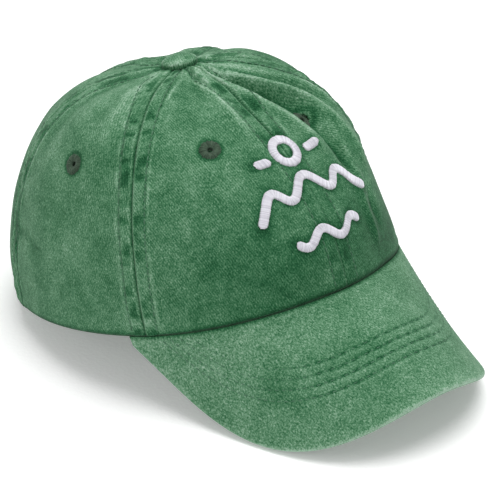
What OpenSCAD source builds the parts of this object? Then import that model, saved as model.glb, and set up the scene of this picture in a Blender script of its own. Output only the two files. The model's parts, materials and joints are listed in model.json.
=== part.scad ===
// Six-panel baseball cap with a curved brim and an adjustable strap at the back.
// Millimetres, +Z up, the brim points along -Y and the wearer's right side is -X.
// The cap stands as it rests on a table: on the brim's side edges and the crown's back edge.
// All shapes are worked out level, with the crown's bottom edge near z = 0, then tipped to rest.

/* [Crown] */
// Half length of the head opening, centre to front
crown_front = 100.8; // [92:0.1:110]
// Half length of the head opening, centre to back
crown_back = 101; // [92:0.1:110]
// Half width of the head opening
crown_side = 81.5; // [74:0.1:90]
// Height of the crown above its bottom edge
crown_h = 96.5; // [85:0.5:130]
// Forward shift of the crown's top
top_shift = 9.4; // [0:0.1:20]
// How much the bottom edge rises at the middle of the forehead
front_rise = 5; // [0:0.5:12]
// Profile exponent at the front, larger is more sloping
front_pow = 1.3; // [0.4:0.01:1.6]
// Profile exponent at the sides
side_pow = 0.6; // [0.4:0.01:1.6]
// Profile exponent at the back
back_pow = 0.72; // [0.4:0.01:1.6]
// Outward swell of the front, as a share of its radius
front_swell = 0.04; // [0:0.005:0.1]
// Outward swell of the back, as a share of its radius
back_swell = 0.017; // [0:0.001:0.1]
// Thickness of the twill with its lining layer
cloth_t = 0.9; // [0.5:0.1:1.5]
// Angle of the seam between front and side panel, from straight ahead
seam_1 = 61.7; // [50:0.1:70]
// Angle of the seam between side and back panel, from straight ahead
seam_2 = 118.8; // [110:0.1:130]

/* [Seam tape and sweatband] */
// Half width of the tape over each inside seam
tape_half = 9; // [6:0.5:12]
// Thickness of the seam tape
tape_t = 0.6; // [0.3:0.1:1]
// Thickness of the folded sweatband
sweat_t = 1.2; // [0.8:0.1:2]
// Thickness of its edge turned under the crown
turn_t = 0.8; // [0.5:0.1:1.5]
// Room between crown and sweatband where the strap runs
pocket = 6.4; // [5:0.1:8]

/* [Brim] */
// Length of the brim at its middle
brim_len = 64.7; // [50:0.1:80]
// Downward slope of the brim at its middle, degrees
brim_slope = 37.3; // [10:0.1:50]
// Angle of the brim's corners from straight ahead
brim_t = 69.7; // [60:0.1:75]
// Thickness of the fabric cover, each side
cover_t = 0.8; // [0.5:0.1:1.2]
// Thickness of the stiff board inside
board_t = 1.4; // [1:0.1:2.5]
// Half width of the straight middle part of the front edge
edge_flat = 40.5; // [20:0.5:50]
// Half width control of the edge at its round corner
edge_x = 71; // [60:0.5:85]
// Distance of that control behind the front edge
edge_y = 43.7; // [20:0.1:60]
// Distance of that control below the front edge
edge_z = 40.9; // [10:0.1:60]
// Inward run of the side edge at the corner
root_x = 15.9; // [-20:0.1:20]
// Forward run of the side edge at the corner
root_y = 29.9; // [10:0.1:50]
// Downward run of the side edge at the corner
root_z = 35; // [0:0.1:50]

/* [Eyelets and button] */
// Outer diameter of a sewn eyelet
eyelet_d = 10; // [7:0.5:12]
// Diameter of the air hole
eyelet_hole = 3.5; // [2:0.5:6]
// Angle of the front eyelets from straight ahead
eyelet_1 = 31.5; // [20:0.5:45]
// Angle of the side eyelets
eyelet_2 = 87; // [75:0.5:100]
// Angle of the back eyelets
eyelet_3 = 148; // [135:0.5:160]
// Place of the eyelets between bottom edge (0) and top (1)
eyelet_s = 0.535; // [0.4:0.005:0.7]
// Diameter of the top button
button_d = 16; // [12:0.5:20]
// Height of the top button
button_h = 5; // [3:0.5:7]
// Diameter of the rivet through the crown
rivet_d = 5; // [3:0.5:6]

/* [Back opening and strap] */
// Width of the arched opening at the back
arch_w = 70; // [60:1:80]
// Height of the arched opening
arch_h = 45; // [35:1:55]
// Width of the binding round the arch
bind_w = 7.5; // [5:0.5:10]
// How far the binding stands proud of the cloth
bind_t = 0.8; // [0.4:0.1:1.2]
// Width of the strap
strap_w = 22; // [15:1:25]
// Thickness of the strap
strap_t = 1.4; // [1:0.1:2]
// Radius of the strap's outer face at the bottom edge
strap_r = 68.7; // [60:0.1:75]
// Centre of the strap's arc behind the middle of the head opening
strap_y = 29.6; // [20:0.1:40]
// Height of the strap's lower edge
strap_z = 5; // [4:0.5:8]

/* [Buckle] */
// Angle of the buckle from straight back
buckle_a = 12; // [8:1:16]
// Thickness of the buckle's cheeks
cheek_t = 1.5; // [1:0.1:2]
// Diameter of the lever's pin
pin_d = 1.6; // [1.2:0.1:2.5]
// Radial clearance of the lever on its pin
pin_gap = 0.05; // [0.02:0.01:0.1]

/* [Embroidery] */
// Width of a satin stitch bar
satin_w = 3.8; // [2.5:0.1:5]
// Height of the raised satin stitch
satin_t = 1; // [0.5:0.1:1.5]

/* [Part to show] */
// Name of the sub-part to build, or all

/* [Hidden] */
$fa = 6;
$fs = 0.5;

green = [0.29, 0.48, 0.35];
dark = [0.22, 0.38, 0.27];
metal = [0.55, 0.47, 0.3];
white = [0.9, 0.91, 0.93];

// Crown surface: t is the angle from straight ahead towards the wearer's right, s runs 0 to 1
function wf(t) = pow(max(0, cos(t)), 2);
function wb(t) = pow(max(0, -cos(t)), 2);
function ws(t) = 1 - wf(t) - wb(t);
function pw(t) = front_pow * wf(t) + back_pow * wb(t) + side_pow * ws(t);
function sw(t) = front_swell * wf(t) + back_swell * wb(t);
function shrink(t, s) = pow(max(0, cos(90 * s)), pw(t)) * (1 + sw(t) * sin(180 * s));
function half_l(t) = cos(t) > 0 ? crown_front : crown_back;
function edge_rise(t) = abs(t) < brim_t ? front_rise * (1 + cos(180 * t / brim_t)) / 2 : 0;
function crown(t, s) = let(c = shrink(t, s), q = pow(sin(90 * s), 1.044))
  [-crown_side * sin(t) * c, -half_l(t) * cos(t) * c - top_shift * (1 - c),
   edge_rise(t) * (1 - q) + crown_h * q];
function unit(v) = v / norm(v);
function flat(v) = unit([v[0], v[1], 0]);
function raw_n(t, s) = unit(cross(crown(t, min(1, s + 0.01)) - crown(t, max(0, s - 0.01)),
  crown(t + 0.4, s) - crown(t - 0.4, s)));
function mix_up(n, k) = k <= 0 ? n : unit(n * (1 - k) + [0, 0, k]);
function out_n(t, s) = s == 0 ? flat(raw_n(t, 0)) :
  s > 0.97 ? [0, 0, 1] : mix_up(raw_n(t, s), (s - 0.87) / 0.1);
function skin(t, s, o) = crown(t, s) + o * out_n(t, s);
function speed(t) = norm([crown_side * cos(t), half_l(t) * sin(t)]) * PI / 180;
function height_s(z) = asin(pow(z / crown_h, 1 / 1.044)) / 90;

// Columns (angles) and rows (heights) shared by every sewn layer, so layers meet face to face
d_0 = tape_half / speed(0);
d_1 = tape_half / speed(seam_1);
d_2 = tape_half / speed(seam_2);
brim_end = seam_1 + d_1;
arch_i = asin(arch_w / 2 / crown_side);
arch_o = arch_i + bind_w / speed(180 - arch_i);
arch_si = height_s(arch_h);
arch_so = height_s(arch_h + bind_w);
ROWS = [0, 0.12, 0.24, 0.36, 0.48, 0.6, 0.7, 0.78, 0.85, 0.91, 0.955, 0.985, 0.9995];
function steps(a, b, n) = [for (i = [1:n]) a + (b - a) * i / n];
FRONT = concat([0, d_0], steps(d_0, seam_1 - d_1, 8), [seam_1]);
SIDE = concat([seam_1, brim_end], steps(brim_end, seam_2 - d_2, 8), [seam_2]);
ARCH = [for (k = [0.97, 0.9, 0.8, 0.65, 0.45]) 180 - arch_o * k];
BACK = concat([seam_2, seam_2 + d_2], steps(seam_2 + d_2, 180 - arch_o, 3), ARCH,
  [180 - d_0, 180]);
function below(L, a) = [for (v = L) if (v < a) v];
HALF = concat(below(FRONT, seam_1), below(SIDE, seam_2), below(BACK, 180 - arch_o + 0.01));
function mirrored(L) = concat([for (i = [len(L) - 1:-1:1]) -L[i]], L);

// The arch at the back lifts the lower end of the columns that cross it
function back_t(t) = 180 - abs(t);
function arch_s(t) = back_t(t) >= arch_o - 0.001 ? 0 : arch_so * sqrt(1 - pow(back_t(t) / arch_o, 2));
function row(t, v) = arch_s(t) + (1 - arch_s(t)) * v;

// Loft through closed loops of points, with the end faces given for the first loop.
// Each quad's diagonal mirrors left to right, and is the same on both faces of a layer.
module loft(loops, caps, ring = false) {
  m = len(loops[0]);
  n = len(loops);
  pts = [for (l = loops) for (p = l) p];
  last = ring ? n - 1 : n - 2;
  sides = [for (i = [0:last]) for (j = [0:m - 1]) let(a = i * m, b = ((i + 1) % n) * m,
    k = (j + 1) % m, left = loops[i][0][0] + loops[(i + 1) % n][0][0] > 0, inner = 2 * j >= m - 1,
    tri = left == inner ? [[a + j, b + j, b + k], [a + j, b + k, a + k]] :
      [[a + j, b + j, a + k], [b + j, b + k, a + k]]) for (f = tri) f];
  far = [for (c = caps) [for (k = [len(c) - 1:-1:0]) c[k] + (n - 1) * m]];
  polyhedron(points = pts, faces = ring ? sides : concat(sides, caps, far), convexity = 8);
}
function split(q) = [[q[0], q[1], q[2]], [q[0], q[2], q[3]]];
function ladder(m) = [for (j = [0:m - 2]) for (f = split([j, j + 1, 2 * m - 2 - j, 2 * m - 1 - j])) f];
function layer(t, rows, a, b) = concat([for (v = rows) skin(t, row(t, v), a)],
  [for (k = [len(rows) - 1:-1:0]) skin(t, row(t, rows[k]), b)]);
module shell(cols, rows, a, b) {
  loft([for (t = cols) layer(t, rows, a, b)], ladder(len(rows)));
}
function flip(L) = [for (i = [len(L) - 1:-1:0]) -L[i]];

module at_skin(t, s, o) {
  n = out_n(t, s);
  translate(skin(t, s, o))
    rotate([0, acos(n[2]), atan2(n[1], n[0])])
      children();
}

module top_hole() {
  translate([0, -top_shift, crown_h - 8])
    cylinder(d = rivet_d, h = 16);
}

module panel(cols, eye) {
  color(green)
    difference() {
      shell(cols, ROWS, 0, -cloth_t);
      top_hole();
      at_skin(eye, eyelet_s, -4)
        cylinder(d = eyelet_d, h = 8);
    }
}

module tape(t, d) {
  color(dark)
    difference() {
      shell([t - d, t, t + d], ROWS, -cloth_t, -cloth_t - tape_t);
      top_hole();
    }
}

module eyelet(t) {
  color(dark)
    at_skin(t, eyelet_s, -1.5)
      rotate_extrude()
        polygon([[eyelet_hole / 2, 0.5], [eyelet_hole / 2 + 0.5, 0], [eyelet_d / 2, 0],
          [eyelet_d / 2, 1.6], [eyelet_d / 2 - 0.7, 2.1], [eyelet_hole / 2 + 0.6, 2.1],
          [eyelet_hole / 2, 1.6]]);
}

// Sweatband: a wall inside the crown with its lower edge turned under the crown's edge
function smooth(k) = k <= 0 ? 0 : k >= 1 ? 1 : k * k * (3 - 2 * k);
function gap_to(t) = cloth_t + tape_t + (pocket - cloth_t - tape_t) * smooth((76 - back_t(t)) / 22);
function band_loop(t) = let(g = gap_to(t), e = g + sweat_t, down = [0, 0, turn_t],
  rim = skin(t, 0, 0), inner = skin(t, 0, -e))
  [rim - down, rim, skin(t, 0, -g), skin(t, 0.12, -g), skin(t, 0.24, -g),
   skin(t, 0.24, -e), skin(t, 0.12, -e), inner, inner - down];
module sweatband() {
  caps = [[0, 1, 2], [0, 2, 8], [2, 7, 8], [2, 3, 6], [2, 6, 7], [3, 4, 5], [3, 5, 6]];
  color(green)
    loft([for (t = mirrored(HALF)) band_loop(t)], caps);
}

// Brim: a ruled sheet from the crown's bottom edge to a curved outer edge
brim_t_all = 2 * cover_t + board_t;
function bez(P, k) = let(n = len(P) - 1, C = [1, 4, 6, 4, 1])
  [for (a = [0:2]) [for (i = [0:n]) C[i] * pow(k, i) * pow(1 - k, n - i) * P[i][a]] * [1, 1, 1, 1, 1]];
nose = [0, -crown_front - brim_len * cos(brim_slope), front_rise - brim_len * sin(brim_slope)];
function root(e) = let(t = brim_t * e)
  [-crown_side * sin(t), -crown_front * cos(t), edge_rise(t)];
corner = root(1);
EDGE = [nose, nose + [-edge_flat, 0, 0], [-edge_x, nose[1] + edge_y, nose[2] - edge_z],
  corner + [root_x, -root_y, -root_z], corner];
function outer(e) = let(q = bez(EDGE, abs(e))) e < 0 ? [-q[0], q[1], q[2]] : q;
function sheet(e, w) = root(e) * (1 - w) + outer(e) * w - [0, 0, turn_t];
function under(e, w) = w == 0 ? -flat(raw_n(brim_t * e, 0)) :
  unit(cross(sheet(e, w + 0.01) - sheet(e, w - 0.01), sheet(e + 0.01, w) - sheet(e - 0.01, w)));
function brim_pt(e, w, o) = sheet(e, w) + o * under(e, w);
BRIM = [for (t = mirrored(below(HALF, brim_end + 0.01))) t / brim_t];
BW = [0, 0.08, 0.25, 0.45, 0.65, 0.85, 0.95, 1];
BOARD = [for (i = [0:6]) BW[i]];
function brim_loop(e, rows, a, b) = concat([for (w = rows) brim_pt(e, w, b)],
  [for (i = [len(rows) - 1:-1:0]) brim_pt(e, rows[i], a)]);
module brim_layer(rows, a, b) {
  loft([for (e = BRIM) brim_loop(e, rows, a, b)], ladder(len(rows)));
}
module brim_top_cover() {
  color(green)
    brim_layer(BW, 0, cover_t);
}
module brim_board() {
  color([0.85, 0.85, 0.82])
    brim_layer(BOARD, cover_t, cover_t + board_t);
}
module brim_turned_edge() {
  color(green)
    brim_layer([BW[6], BW[7]], cover_t, cover_t + board_t);
}
module brim_under_cover() {
  color(dark)
    brim_layer(BW, cover_t + board_t, brim_t_all);
}

// Top button: fabric cover over a metal shell, held by a rivet through the crown
module on_top() {
  translate([0, -top_shift, crown_h])
    children();
}
module button_cover() {
  r = button_d / 2;
  color(green)
    on_top()
      rotate_extrude()
        polygon(concat([for (a = [0:10:90]) [r * cos(a), 0.6 + (button_h - 0.6) * sin(a)]],
          [for (a = [90:-10:0]) [(r - 0.9) * cos(a), 0.6 + (button_h - 1.5) * sin(a)]],
          [[r - 0.9, 0], [r, 0]]));
}
module button_shell() {
  r = button_d / 2 - 0.9;
  color(metal)
    on_top()
      rotate_extrude()
        polygon(concat([for (a = [0:10:90]) [r * cos(a), 0.6 + (button_h - 1.5) * sin(a)]],
          [[0, button_h - 1.6], [rivet_d / 2, button_h - 1.6], [rivet_d / 2, 1], [r - 0.8, 1],
           [r - 0.8, 0], [r, 0]]));
}
module button_rivet() {
  color(metal)
    on_top()
      rotate_extrude()
        polygon([[0, -3.4], [6, -3.4], [6, -2.6], [rivet_d / 2, -2.6], [rivet_d / 2, button_h - 1.6],
          [0, button_h - 1.6]]);
}

// Binding folded over the edge of the arched opening
function bind_loop(t) = let(c = (180 - abs(t)) / arch_o, h = sqrt(max(0, 1 - c * c)),
  k = t < 0 ? -1 : 1, to = t, ti = k * (180 - arch_i * c), so = arch_so * h, si = arch_si * h)
  [skin(ti, si, bind_t), skin(to, so, bind_t), skin(to, so, -cloth_t - bind_t),
   skin(ti, si, -cloth_t - bind_t)];
BIND_R = [for (v = concat([180 - arch_o], ARCH, [180 - d_0, 180])) v];
module arch_binding() {
  left = [for (i = [len(BIND_R) - 2:-1:0]) -BIND_R[i]];
  color(dark)
    loft([for (t = concat(BIND_R, left)) bind_loop(t)], split([0, 1, 2, 3]));
}

// Strap: an arc that leans in with the back of the crown
lean = 0.1;
strap_end_l = 56;
strap_end_r = 44;
module arc(r_out, thick, z0, z1, a0, a1) {
  translate([0, strap_y, 0])
    rotate([0, 0, 90 + a0])
      rotate_extrude(angle = a1 - a0, $fn = 120)
        polygon([[r_out - thick - lean * z0, z0], [r_out - lean * z0, z0],
          [r_out - lean * z1, z1], [r_out - thick - lean * z1, z1]]);
}
module strap() {
  color(green)
    arc(strap_r, strap_t, strap_z, strap_z + strap_w, -strap_end_l, strap_end_r);
}

// Buckle: x is outwards, y runs along the strap to the wearer's right, z is up
mid_z = strap_z + strap_w / 2;
win = strap_w / 2 + 1;
pin_x = 2.6;
pin_y = -5.5;
bar_x = -3.4;
bar_y = 9.5;
tab_t = 1;
tab_gap = 0.7;
module at_buckle() {
  translate([0, strap_y, 0])
    rotate([0, 0, 90 + buckle_a])
      translate([strap_r - strap_t / 2 - lean * mid_z, 0, mid_z])
        rotate([0, -atan(lean), 0])
          children();
}
module cheek() {
  linear_extrude(height = cheek_t)
    difference() {
      polygon([[-2.4, -7.6], [4, -7.6], [4.6, -7], [4.6, -4], [0.8, 0.6], [-1.7, 8.2],
        [-1.9, 11.2], [-4.9, 11.2], [-4.9, 7.8], [-2.4, 4.6]]);
      translate([pin_x, pin_y])
        circle(d = pin_d, $fn = 48);
    }
}
module buckle_frame() {
  color(metal)
    at_buckle() {
      translate([-2.4, -7.6, -win - 0.2])
        cube([1, 12.2, 2 * win + 0.4]);
      translate([0, 0, win])
        cheek();
      translate([0, 0, -win - cheek_t])
        cheek();
      translate([bar_x, bar_y, -win - 0.2])
        cylinder(r = 0.6, h = 2 * win + 0.4, $fn = 36);
    }
}
module buckle_pin() {
  color(metal)
    at_buckle()
      translate([pin_x, pin_y, -win - cheek_t])
        cylinder(d = pin_d, h = 2 * (win + cheek_t), $fn = 48);
}
module buckle_lever() {
  wide = 2 * (win - 0.4);
  color(metal)
    at_buckle()
      translate([0, 0, -wide / 2])
        difference() {
          union() {
            translate([pin_x, pin_y, 0])
              cylinder(r = 1.6, h = wide, $fn = 48);
            linear_extrude(height = wide)
              polygon([[1.3, pin_y], [1.3, 7.4], [2.4, 9.2], [3.2, 9.2], [3.2, 8.4], [2.3, 6.8],
                [2.3, pin_y]]);
          }
          translate([pin_x, pin_y, -1])
            cylinder(r = pin_d / 2 + pin_gap, h = wide + 2, $fn = 48);
        }
}
module buckle_tab() {
  tab_r = strap_r - strap_t - tab_gap;
  half = strap_w / 2 - 1;
  color(green) {
    arc(tab_r, tab_t, mid_z - half, mid_z + half, buckle_a + 9.4, 46);
    at_buckle()
      translate([bar_x, bar_y, -half])
        difference() {
          cylinder(r = 1.6, h = 2 * half, $fn = 48);
          translate([0, 0, -1])
            cylinder(r = 0.6, h = 2 * half + 2, $fn = 36);
        }
  }
}

// Embroidery: raised satin bars laid on the crown, a to the wearer's right and b upwards
function on_front(a, b, o) = let(s = b / 138, t = a / (crown_side * shrink(0, s)) * 180 / PI)
  skin(t, s, o);
function side_of(P, i) = let(n = len(P), p = P[max(0, i - 1)], q = P[i], r = P[min(n - 1, i + 1)],
  u = i > 0 ? (q - p) / norm(q - p) : (r - q) / norm(r - q),
  v = i < n - 1 ? (r - q) / norm(r - q) : u, m = (u + v) / norm(u + v))
  [-m[1], m[0]] / max(0.5, m * u);
function bar_loop(q, d) = [on_front(q[0] - d[0], q[1] - d[1], 0),
  on_front(q[0] - d[0] * 0.8, q[1] - d[1] * 0.8, satin_t * 0.8), on_front(q[0], q[1], satin_t),
  on_front(q[0] + d[0] * 0.8, q[1] + d[1] * 0.8, satin_t * 0.8),
  on_front(q[0] + d[0], q[1] + d[1], 0)];
module satin(P) {
  loft([for (i = [0:len(P) - 1]) bar_loop(P[i], side_of(P, i) * satin_w / 2)],
    [[0, 1, 4], [1, 3, 4], [1, 2, 3]]);
}
module satin_ring(a, b, r) {
  loft([for (k = [0:10:350]) bar_loop([a + r * cos(k), b + r * sin(k)],
    [-cos(k), -sin(k)] * satin_w / 2)], [], true);
}
function refine(P, n) = concat([for (i = [0:len(P) - 2]) for (k = [0:n - 1])
  P[i] + (P[i + 1] - P[i]) * k / n], [P[len(P) - 1]]);
module embroidery_upper() {
  color(white) {
    satin_ring(0, 63, 5.4);
    satin(refine([[10.5, 61], [16.5, 61]], 2));
    satin(refine([[-16.5, 61], [-10.5, 61]], 2));
  }
}
module embroidery_middle() {
  peaks = [[-29, 36], [-18.5, 50], [-11, 41], [0, 53.5], [11, 41], [18.5, 50], [29, 36]];
  color(white)
    satin(refine(peaks, 3));
}
module embroidery_lower() {
  color(white)
    satin([for (k = [0:36]) [-18 + k, 25.5 + 2.8 * sin(k * 20)]]);
}

// Resting pose: the line under the brim's side edges and the ends of the back opening
LOW_F = [for (e = BRIM) brim_pt(e, 1, brim_t_all)];
LOW_B = concat([for (t = BACK) if (back_t(t) > arch_o - 0.01) skin(t, 0, 0) - [0, 0, turn_t]],
  [skin(180 - arch_i, 0, bind_t), skin(180 - arch_o, 0, bind_t)]);
function tip(a, b) = atan2(b[2] - a[2], b[1] - a[1]);
pitch = min([for (b = LOW_B) max([for (a = LOW_F) tip(a, b)])]);
function rest_y(p) = p[1] * cos(pitch) + p[2] * sin(pitch);
function rest_z(p) = -p[1] * sin(pitch) + p[2] * cos(pitch);
BACK_SKIN = concat([for (v = ROWS) skin(180, row(180, v), bind_t * (v == 0 ? 1 : 0))],
  [for (b = [arch_si, arch_so]) skin(180, b, bind_t)]);
FRONT_SKIN = [for (o = [0, brim_t_all]) brim_pt(0, 1, o)];
y_max = max([for (p = BACK_SKIN) rest_y(p)]);
y_min = min([for (p = FRONT_SKIN) rest_y(p)]);
z_min = min([for (p = concat(LOW_F, LOW_B)) rest_z(p)]);
module rest() {
  translate([0, -(y_max + y_min) / 2, -z_min])
    rotate([-pitch, 0, 0])
      children();
}

module front_right_panel() { panel(FRONT, eyelet_1); }
module front_left_panel() { panel(flip(FRONT), -eyelet_1); }
module side_right_panel() { panel(SIDE, eyelet_2); }
module side_left_panel() { panel(flip(SIDE), -eyelet_2); }
module back_right_panel() { panel(BACK, eyelet_3); }
module back_left_panel() { panel(flip(BACK), -eyelet_3); }
module eyelet_front_right() { eyelet(eyelet_1); }
module eyelet_front_left() { eyelet(-eyelet_1); }
module eyelet_side_right() { eyelet(eyelet_2); }
module eyelet_side_left() { eyelet(-eyelet_2); }
module eyelet_back_right() { eyelet(eyelet_3); }
module eyelet_back_left() { eyelet(-eyelet_3); }
module tape_front() { tape(0, d_0); }
module tape_front_right() { tape(seam_1, d_1); }
module tape_front_left() { tape(-seam_1, d_1); }
module tape_back_right() { tape(seam_2, d_2); }
module tape_back_left() { tape(-seam_2, d_2); }
module tape_back() { tape(180, d_0); }

rest() front_right_panel();
rest() front_left_panel();
rest() side_right_panel();
rest() side_left_panel();
rest() back_right_panel();
rest() back_left_panel();
rest() eyelet_front_right();
rest() eyelet_front_left();
rest() eyelet_side_right();
rest() eyelet_side_left();
rest() eyelet_back_right();
rest() eyelet_back_left();
rest() tape_front();
rest() tape_front_right();
rest() tape_front_left();
rest() tape_back_right();
rest() tape_back_left();
rest() tape_back();
rest() sweatband();
rest() button_cover();
rest() button_shell();
rest() button_rivet();
rest() brim_top_cover();
rest() brim_board();
rest() brim_turned_edge();
rest() brim_under_cover();
rest() arch_binding();
rest() strap();
rest() buckle_tab();
rest() buckle_frame();
rest() buckle_pin();
rest() buckle_lever();
rest() embroidery_upper();
rest() embroidery_middle();
rest() embroidery_lower();
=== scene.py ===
"""Looks of a washed green six-panel baseball cap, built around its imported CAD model.

Every sewn piece is worked out in millimetres in the cap's own level frame: z = 0 is the plane of
the crown's bottom edge, the brim points along -y and the wearer's right is -x. to_row() tips it
into the row frame. t is an angle from straight ahead towards the wearer's right, in degrees, and
s runs from the crown's bottom edge (0) to its top (1).
"""

import json
import math

import bpy
import numpy as np
from mathutils import Matrix, Vector


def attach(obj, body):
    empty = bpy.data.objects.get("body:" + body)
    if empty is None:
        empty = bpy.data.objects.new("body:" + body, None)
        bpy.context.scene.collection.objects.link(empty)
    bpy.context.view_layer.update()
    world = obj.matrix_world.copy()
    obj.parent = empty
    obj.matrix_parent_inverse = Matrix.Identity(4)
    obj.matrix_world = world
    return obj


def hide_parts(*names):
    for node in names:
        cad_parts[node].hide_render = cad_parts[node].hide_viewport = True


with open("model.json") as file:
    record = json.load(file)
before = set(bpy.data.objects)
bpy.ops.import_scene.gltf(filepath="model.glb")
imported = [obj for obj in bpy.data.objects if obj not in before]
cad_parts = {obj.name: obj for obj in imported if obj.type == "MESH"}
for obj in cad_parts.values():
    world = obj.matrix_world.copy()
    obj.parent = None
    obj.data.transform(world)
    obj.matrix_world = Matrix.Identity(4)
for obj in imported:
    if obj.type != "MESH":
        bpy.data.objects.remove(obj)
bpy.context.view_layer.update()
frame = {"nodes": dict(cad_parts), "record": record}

# ---- driving dimensions, mm and degrees
CROWN_FRONT, CROWN_BACK, CROWN_SIDE, CROWN_H = 100.8, 101.0, 81.5, 96.5
TOP_SHIFT, FRONT_RISE = 9.4, 5.0
FRONT_POW, SIDE_POW, BACK_POW, TOP_POW = 1.3, 0.6, 0.72, 1.044
FRONT_SWELL, BACK_SWELL = 0.04, 0.017
SEAM_1, SEAM_2 = 61.7, 118.8
CLOTH, TAPE, TAPE_HALF, SWEAT, TURN, POCKET = 0.9, 0.6, 9.0, 1.2, 0.8, 6.4
BRIM_LEN, BRIM_SLOPE, BRIM_T, BRIM_THICK, COVER = 64.7, 37.3, 69.7, 3.0, 0.8
EYELETS = {"front": 31.5, "side": 87.0, "back": 148.0}
EYELET_S = 0.535  # how far up the crown they are, from 0 to 1
BUTTON_R, BUTTON_H = 8.0, 5.0
ARCH_W, ARCH_H, BIND_W = 70.0, 45.0, 7.5
STRAP_R, STRAP_T, STRAP_W, STRAP_Y, STRAP_Z, LEAN = 68.7, 1.4, 22.0, 29.6, 5.0, 0.1
STRAP_LEFT, STRAP_RIGHT, BUCKLE_A, TAB_END = 56.0, 44.0, 12.0, 46.0
STITCH_OFF = 6.3  # topstitching lies this far from each seam
STITCH_PITCH, STITCH_LEN = 3.1, 2.5
BRIM_ROWS = (22.6, 27.6, 32.4, 37.2)  # distances of the stitched rows from the brim's edge
PANEL_RUN = 138  # about how far it is up a front panel, mm
BRIM_RUN = 70  # what one e counts for in the brim's noise and dashes
BRIM_DASH = 3.1  # pitch of the dark dashes along the brim's rows, on that scale
TOP_S = 0.9995  # where the panels and tapes end, under the button

MOUNT = frame["record"]["mounts"][0]
ORIGIN = np.array(MOUNT["pos_m"])
UP = -np.array(MOUNT["axis"])
TURN_TO_ROW = np.stack([[1.0, 0.0, 0.0], np.cross(UP, [1.0, 0.0, 0.0]), UP])


def to_row(points):
    """Cap frame in mm to row frame in metres."""
    return ORIGIN + (np.asarray(points, float) / 1000.0) @ TURN_TO_ROW


# ---- the crown's and the brim's surfaces
def unit(v):
    return v / np.maximum(np.linalg.norm(v, axis=-1, keepdims=True), 1e-12)


def limit(k):
    return np.clip(k, 0, 1)


def smooth(k):
    k = limit(k)
    return k * k * (3 - 2 * k)


def bump(x, centre, width):
    return np.exp(-(((x - centre) / width) ** 2))


def wrap(t):
    return (np.asarray(t, float) + 180) % 360 - 180


def pair(a, b):
    """Two numbers or grids as arrays of one shape."""
    return np.broadcast_arrays(np.asarray(a, float), np.asarray(b, float))


def rows_of(a, b, n):
    """n values from a to b, one for each row of a grid of points."""
    return np.linspace(a, b, n)[:, None]


def columns_of(a, b, n):
    return np.linspace(a, b, n)[None]


def circle(n):
    """n angles once round, one for each row of a grid."""
    return np.linspace(0, 2 * np.pi, n, endpoint=False)[:, None]


def stack(*parts):
    """Arrays stretched to one shape and set side by side along a new last axis."""
    return np.stack(np.broadcast_arrays(*parts), -1)


def size_of(v):
    return np.linalg.norm(v, axis=-1)


def run_along(points):
    """Distance along a line of points, from its start."""
    return np.concatenate([[0], np.cumsum(size_of(np.diff(points, axis=0)))])


def points_at(u, run, points):
    """Points at distances u along a line whose points are at distances run."""
    return np.stack([np.interp(u, run, column) for column in points.T], -1)


def shrink(t, s):
    """How far the crown has drawn in at height s, as a share of its bottom edge."""
    ahead = np.cos(np.radians(t))
    front, back = limit(ahead) ** 2, limit(-ahead) ** 2
    power = FRONT_POW * front + BACK_POW * back + SIDE_POW * (1 - front - back)
    swell = FRONT_SWELL * front + BACK_SWELL * back
    c = np.maximum(np.cos(np.radians(90 * s)), 0) ** power
    return c * (1 + swell * np.sin(np.radians(180 * s)))


def edge_rise(t):
    """How far the bottom edge arches up over the brim."""
    t = np.abs(wrap(t))
    return np.where(t < BRIM_T, FRONT_RISE * (1 + np.cos(np.pi * np.minimum(t / BRIM_T, 1))) / 2, 0)


def base(t, s):
    """The crown's plain outer surface."""
    t, s = pair(t, s)
    c, a = shrink(t, s), np.radians(t)
    q = np.maximum(np.sin(np.radians(90 * s)), 0) ** TOP_POW
    length = np.where(np.cos(a) > 0, CROWN_FRONT, CROWN_BACK)
    x = -CROWN_SIDE * np.sin(a) * c
    y = -length * np.cos(a) * c - TOP_SHIFT * (1 - c)
    return stack(x, y, edge_rise(t) * (1 - q) + CROWN_H * q)


def normal(t, s):
    t, s = pair(t, s)
    up = base(t, np.minimum(s + 0.01, 1)) - base(t, np.maximum(s - 0.01, 0))
    across = base(t + 0.4, s) - base(t - 0.4, s)
    n = unit(np.cross(up, across))
    level = unit(n * [1, 1, 0])
    n = np.where(s[..., None] <= 0, level, n)
    k = limit((s[..., None] - 0.87) / 0.1)
    return unit(n * (1 - k) + np.array([0, 0, 1.0]) * k)


def speed(t):
    """Millimetres along the bottom edge for one degree."""
    a = np.radians(t)
    length = np.where(np.cos(a) > 0, CROWN_FRONT, CROWN_BACK)
    return np.hypot(CROWN_SIDE * np.cos(a), length * np.sin(a)) * math.pi / 180


def noise(p, size, seed):
    """Smooth noise from -1 to 1 with features about size wide."""
    n = 24
    lattice = np.random.default_rng(seed).uniform(-1, 1, (n, n, n))
    q = p / size + 7.3
    i = np.floor(q).astype(int)
    f = q - i
    f = f * f * (3 - 2 * f)
    out = 0
    for corner in np.ndindex(2, 2, 2):
        x, y, z = np.moveaxis((i + corner) % n, -1, 0)
        out = out + np.abs(1 - np.array(corner) - f).prod(-1) * lattice[x, y, z]
    return out


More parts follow.
